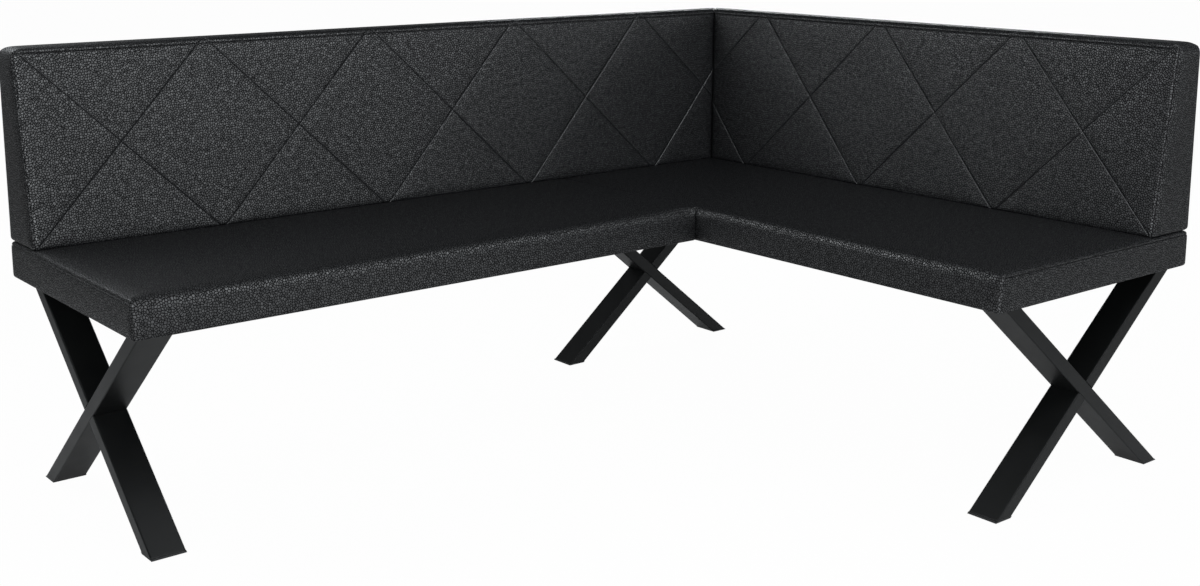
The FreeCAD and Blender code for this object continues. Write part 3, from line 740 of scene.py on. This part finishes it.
def show_all():
    """Shows the hidden faces again and leaves edit mode."""
    bpy.ops.mesh.reveal(select=False)
    bpy.ops.object.mode_set(mode="OBJECT")


def groove(distance, valley):
    """How far the cover is pulled in at a distance from a sewn line."""
    near_share = np.clip(1 - (distance / GROOVE_HALF) ** 2, 0, 1)
    return GROOVE_DEPTH * near_share ** 2 + valley * np.exp(-(distance / VALLEY_REACH) ** 2)


def fade(distance, start, run):
    """A share that grows from 0 at the start to 1 after the run."""
    return np.clip((distance - start) / run, 0, 1)


def keep_distance(piece, distance):
    """Stores how far each point is from the nearest quilted line, for the leather to read."""
    kept = piece.data.attributes.new("from_quilting", "FLOAT", "POINT")
    kept.data.foreach_set("value", distance)


print("cuts at", [round(c * 1000, 1) for c in CUTS], "mm")

# %% [markdown]
# A back has three kinds of sewn line: the long diagonals, which hold the quilted front to the foam,
# the seam just under its head, where front and head panel meet, and the seam round the front
# corner of its free end. The diagonals are cut at their measured places, so that they cross and
# meet the edges as in the photograph.

# %% Sewn lines of the backs
LEAN = (FOOT_DEPTH - HEAD_DEPTH) / (BENCH_TOP - SEAT_TOP)
FRONT_NORMAL = Vector((0, -1, LEAN)).normalized()
QUILT_VALLEY = 0.0003
SKIN = 0.012
CORNER_SKIN = 0.014
FRONT_REACH = 0.011
FRONT_FADE = 0.006
END_START = 0.003
BELOW_SEAM = 0.002
NOT_QUILTED = 1


def sew_back(piece, length, width):
    """Cuts and pulls in the diagonals, the seam under the head and the seam at the free end."""
    show_only(piece, lambda x, y, z: y < back_front(z) + SKIN)
    for cell in range(math.ceil(length / width)):
        middle = (width * (cell + 0.5), 0, CELL_MIDDLE)
        for way in (1, -1):
            score(middle, (CELL_HEIGHT, 0, -way * width))
    score((0, 0, TOP_SEAM), (0, 0, 1))
    show_all()
    show_only(piece, lambda x, y, z: x < CORNER_SKIN and y < back_front(z) + CORNER_SKIN)
    score((0, back_front(SEAT_TOP), SEAT_TOP), (-1, 1, -LEAN))
    show_all()
    spots = points(piece)
    x, y, z = spots.T
    into = y - back_front(z)
    on_front = np.clip((FRONT_REACH - into) / FRONT_FADE, 0, 1)
    diagonal = quilt_distance(spots, width)
    quilted = groove(diagonal, QUILT_VALLEY) * fade(x, END_START, 0.004)
    head = groove(np.abs(z - TOP_SEAM), valley=0) * fade(x, END_START, 0.003)
    inward = np.maximum(quilted, head) * on_front
    spots -= inward[:, None] * np.array(FRONT_NORMAL)
    corner = groove(np.abs(x - into) / math.sqrt(2), valley=0)
    corner *= (x < SKIN) & (into < SKIN) & (z < TOP_SEAM)
    spots += corner[:, None] * np.array((1, 1, 0)) / math.sqrt(2)
    move(piece, spots)
    on_panel = (on_front > 0.5) & (z < TOP_SEAM - BELOW_SEAM) & (x > SKIN)
    keep_distance(piece, np.where(on_panel, diagonal, NOT_QUILTED))
    print(piece.name, len(piece.data.polygons), "faces after sewing")


sew_back(long_back, LONG_ARM, LONG_CELL)
sew_back(short_back, SHORT_ARM, SHORT_CELL)

# %% [markdown]
# The thread shows in the grooves as a row of short dashes. One stitch is modelled from a six-sided
# rod with tapered ends, and copied along each sewn line. Each copy is dropped on to the cover by
# a ray, so that it lies in the bottom of its groove, about a third of it sunk.

# %% One stitch
STITCH = 0.0042
STITCH_PITCH = 0.0056
STITCH_RADIUS = 0.00042
TAPER_LENGTH = 0.0005
TAPER_WIDTH = 0.00022
STITCH_LIFT = 0.00012
RAY_START = 0.03
RAY_LENGTH = 0.05
bpy.ops.object.select_all(action="DESELECT")
bpy.ops.mesh.primitive_cylinder_add(
    vertices=6, radius=STITCH_RADIUS, depth=STITCH - 2 * TAPER_LENGTH,
)
stitch = bpy.context.object
stitch.name = "one_stitch"
for end in (1, -1):
    pick(stitch, "FACE", lambda x, y, z: z * end > STITCH / 4)
    bpy.ops.mesh.inset(thickness=TAPER_WIDTH, depth=TAPER_LENGTH)
    bpy.ops.object.mode_set(mode="OBJECT")
stitch_points = points(stitch)[:, [2, 0, 1]]
stitch_faces = [list(face.vertices) for face in stitch.data.polygons]
bpy.data.objects.remove(stitch)
print("stitch", len(stitch_points), "points", len(stitch_faces), "faces")


def lay_stitches(name, piece, rows):
    """One object with the stitches of all rows, each row a start, an end and an outward normal."""
    surface = BVHTree.FromObject(piece, bpy.context.evaluated_depsgraph_get())
    spots, faces = [], []
    for row in rows:
        start, end, normal = map(Vector, row)
        normal.normalize()
        along = (end - start).normalized()
        turn = np.array([along, normal.cross(along), normal])
        for i in range(int((end - start).length / STITCH_PITCH)):
            centre = start + along * STITCH_PITCH * (i + 0.5)
            found = surface.ray_cast(centre + normal * RAY_START, -normal, RAY_LENGTH)[0]
            if found is None:
                continue
            faces += [[v + len(spots) * len(stitch_points) for v in face] for face in stitch_faces]
            spots.append(stitch_points @ turn + np.array(found + normal * STITCH_LIFT))
    mesh = bpy.data.meshes.new(name)
    mesh.from_pydata(np.concatenate(spots).tolist(), [], faces)
    made = bpy.data.objects.new(name, mesh)
    scene.collection.objects.link(made)
    print(name, len(spots), "stitches")
    return made

# %% [markdown]
# The rows of stitches start and end where the sewing does: 5 mm above the seat, just under the
# head seam, and before the mitre, where a real machine foot can't reach either.

# %% Stitches of the backs
ABOVE_SEAT = 0.005
UNDER_HEAD_SEAM = 0.003
BEFORE_MITRE = 0.012
FROM_END = 0.008
HEAD_MARGIN = 0.006
END_SEAM_RISE = 0.012


def back_rows(length, width):
    """The sewn lines of a back: its diagonals, the seam under its head and its end seam."""
    rows = []
    low, high = SEAT_TOP + ABOVE_SEAT, TOP_SEAM - UNDER_HEAD_SEAM
    limit = length + back_front(CELL_MIDDLE) - BEFORE_MITRE
    for cell in range(math.ceil(length / width)):
        for way in (1, -1):
            ends = []
            for z in (low, high):
                across = way * (z - CELL_MIDDLE) / CELL_HEIGHT
                ends.append(Vector((width * (cell + 0.5 + across), back_front(z), z)))
            first, last = sorted(ends, key=lambda end: end.x)
            if first.x > limit:
                continue
            first = first.lerp(last, max(0.0, (FROM_END - first.x) / (last.x - first.x)))
            last = first.lerp(last, min(1.0, (limit - first.x) / (last.x - first.x)))
            rows.append((first, last, FRONT_NORMAL))
    y = back_front(TOP_SEAM)
    head_end = length + y - HEAD_MARGIN
    rows.append(((HEAD_MARGIN, y, TOP_SEAM), (head_end, y, TOP_SEAM), FRONT_NORMAL))
    top, foot = TOP_SEAM - BELOW_SEAM, SEAT_TOP + END_SEAM_RISE
    rows.append(((0, back_front(foot), foot), (0, back_front(top), top), (-1, -1, 0)))
    return rows


rows = back_rows(LONG_ARM, LONG_CELL)
long_back_thread = lay_stitches("long_back_thread", long_back, rows)
rows = back_rows(SHORT_ARM, SHORT_CELL)
short_back_thread = lay_stitches("short_back_thread", short_back, rows)

# %% [markdown]
# The seats are upholstered boards. The front of each is a waterfall of about 25 mm radius, and the
# long seat butts against the upright side of the short one, which fills the corner. The bench
# stands round the origin, so its outer sides are half its arms' lengths away.

# %% Form of the seats
SEAT_FOOT = 0.4385
LONG_FRONT = 0.107
LONG_JOINT = 0.3474
SHORT_FRONT = 0.348
WATERFALL_END = 0.119
OUTER_X = LONG_ARM / 2
OUTER_Y = SHORT_ARM / 2
long_seat = block(
    "long_seat_upholstery", (-OUTER_X, LONG_FRONT, SEAT_FOOT), (LONG_JOINT, OUTER_Y, SEAT_TOP),
)
round_off(long_seat, [
    (0.003, lambda x, y, z: near(x, LONG_JOINT)),
    (0.011, lambda x, y, z: near(y, OUTER_Y) and near(z, SEAT_FOOT)),
    (0.004, lambda x, y, z: near(z, SEAT_FOOT)),
    (0.025, lambda x, y, z: near(y, LONG_FRONT) and near(z, SEAT_TOP)),
    (0.011, lambda x, y, z: near(y, LONG_FRONT)),
    (0.012, lambda x, y, z: near(y, OUTER_Y) and near(z, SEAT_TOP)),
    (0.009, lambda x, y, z: near(z, SEAT_TOP)),
    (0.006, lambda x, y, z: near(x, -OUTER_X)),
])
short_seat = block(
    "short_seat_upholstery", (SHORT_FRONT, -OUTER_Y, SEAT_FOOT), (OUTER_X, OUTER_Y, SEAT_TOP),
)
pick(short_seat, "VERT", lambda x, y, z: True)
for cut in (LONG_FRONT, WATERFALL_END):
    bpy.ops.mesh.select_all(action="SELECT")
    bpy.ops.mesh.bisect(plane_co=(0, cut, 0), plane_no=(0, 1, 0))
bpy.ops.object.mode_set(mode="OBJECT")


def on_waterfall(x, y, z):
    """Whether a point is on the top edge of the short seat's front, before the corner."""
    return near(x, SHORT_FRONT) and near(z, SEAT_TOP) and y < WATERFALL_END + SAME


round_off(short_seat, [
    (0.011, lambda x, y, z: near(x, OUTER_X) and near(z, SEAT_FOOT)),
    (0.004, lambda x, y, z: near(z, SEAT_FOOT)),
    (0.025, on_waterfall),
    (0.011, lambda x, y, z: near(x, SHORT_FRONT) and near(y, -OUTER_Y)),
    (0.003, lambda x, y, z: near(x, SHORT_FRONT)),
    (0.012, lambda x, y, z: near(x, OUTER_X) and near(z, SEAT_TOP)),
    (0.009, lambda x, y, z: near(abs(y), OUTER_Y) and near(z, SEAT_TOP)),
    (0.006, lambda x, y, z: near(x, OUTER_X)),
])
print("seats", len(long_seat.data.polygons), len(short_seat.data.polygons))

# %% [markdown]
# A seat's cover is pulled round its board and stapled underneath, and the back stands on its rear
# part. So only the open top and the front can crown, by up to 2 mm over firm foam.

# %% Seat meshes and swelling
SEAT_MESH = 0.018
SEAT_CROWN = 0.0020
END_SEAM = SEAT_TOP - 0.009
BESIDE_END_SEAM = 0.007
AT_UNDERSIDE = 0.002
AT_LONG_JOINT = 0.0019
AT_SHORT_JOINT = 0.002
JOINT_START = 0.1


def end_seam_held(inward, z):
    """Where the seam high on a seat's end holds the cover, by the way in from that end."""
    return (inward < BESIDE_END_SEAM) & (np.abs(z - END_SEAM) < BESIDE_END_SEAM)


def long_seat_held(spots):
    """Where the long seat's cover is held: underneath, at its joint, seam and under the back."""
    x, y, z = spots.T
    joint = x > LONG_JOINT - AT_LONG_JOINT
    under_back = y > OUTER_Y - FOOT_DEPTH
    return (z < SEAT_FOOT + AT_UNDERSIDE) | joint | under_back | end_seam_held(x + OUTER_X, z)


def short_seat_held(spots):
    """Where the short seat's cover is held: the same, with the backs on two of its sides."""
    x, y, z = spots.T
    joint = (x < SHORT_FRONT + AT_SHORT_JOINT) & (y > JOINT_START)
    under_backs = (x > OUTER_X - FOOT_DEPTH) | (y > OUTER_Y - FOOT_DEPTH)
    return (z < SEAT_FOOT + AT_UNDERSIDE) | joint | under_backs | end_seam_held(y + OUTER_Y, z)


for piece, held in ((long_seat, long_seat_held), (short_seat, short_seat_held)):
    slice_even(piece, SEAT_MESH)
    swell(piece, held, SEAT_CROWN)
    print(piece.name, len(piece.data.polygons), "faces")

# %% [markdown]
# Top and front of a seat are one sheet, rolled over the front edge. The end face is a strip of its
# own, joined to it by one seam 9 mm below the top, which fades out at the rounded front corner.

# %% Sewn lines of the seats
SEAT_VALLEY = 0.0004
END_SKIN = 0.006
END_REACH = 0.008
END_FADE = 0.006


def sew_seat(piece, axis, face, front):
    """Cuts and pulls in the seam high on a seat's end face, up to the front corner."""
    show_only(piece, lambda *p: p[axis] < face + END_SKIN)
    score((0, 0, END_SEAM), (0, 0, 1))
    show_all()
    spots = points(piece)
    share = np.clip((face + END_REACH - spots[:, axis]) / END_FADE, 0, 1)
    share *= fade(spots[:, 1 - axis] - front, 0.004, 0.008)
    spots[:, axis] += groove(np.abs(spots[:, 2] - END_SEAM), SEAT_VALLEY) * share
    move(piece, spots)
    keep_distance(piece, np.full(len(spots), NOT_QUILTED, float))
    print(piece.name, len(piece.data.polygons), "faces after sewing")


sew_seat(long_seat, 0, -OUTER_X, LONG_FRONT)
sew_seat(short_seat, 1, -OUTER_Y, SHORT_FRONT)

# %% [markdown]
# Each end seam gets its row of stitches, from the front corner to the rear.

# %% Stitches of the seats
LONG_ROW = (0.128, 0.735)
SHORT_ROW = (0.368, 0.99)
rows = [(*((-OUTER_X, y, END_SEAM) for y in LONG_ROW), (-1, 0, 0))]
long_seat_thread = lay_stitches("long_seat_thread", long_seat, rows)
rows = [(*((x, -OUTER_Y, END_SEAM) for x in SHORT_ROW), (0, -1, 0))]
short_seat_thread = lay_stitches("short_seat_thread", short_seat, rows)

# %% [markdown]
# The backs were modelled along the first axis. The long one only moves to its place. The short one
# also swaps its two level axes, which turns its faces inside out, so its normals are turned back.
# Then the padded pieces get their leather, laid flat in metres by their UV, and the rows of
# stitches their thread.

# %% Backs in place
PADDED = {long_seat: 0.9, short_seat: 0.9, long_back: 0.85, short_back: 0.85}
THREADS = (long_seat_thread, short_seat_thread, long_back_thread, short_back_thread)


def edit_all(piece):
    """Enters edit mode with all of the piece's faces selected."""
    pick(piece, "FACE", lambda x, y, z: True)


for piece in (long_back, long_back_thread):
    move(piece, points(piece) + (-OUTER_X, OUTER_Y, 0))
for piece in (short_back, short_back_thread):
    move(piece, points(piece)[:, [1, 0, 2]] + (OUTER_X, -OUTER_Y, 0))
    edit_all(piece)
    bpy.ops.mesh.flip_normals()
    bpy.ops.object.mode_set(mode="OBJECT")

for piece in (*PADDED, *THREADS):
    piece.data.materials.clear()
    piece.data.materials.append(leather if piece in PADDED else thread)
    piece.data.polygons.foreach_set("use_smooth", np.ones(len(piece.data.polygons), bool))
for piece, fill in PADDED.items():
    part = piece.name.removesuffix("_upholstery")
    edit_all(piece)
    bpy.ops.uv.cube_project(cube_size=1.0, correct_aspect=False)
    bpy.ops.object.mode_set(mode="OBJECT")
    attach(piece, "root")
    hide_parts(part + "_cover", part + "_foam")
for piece in THREADS:
    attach(piece, "root")
print("four padded pieces and their thread")
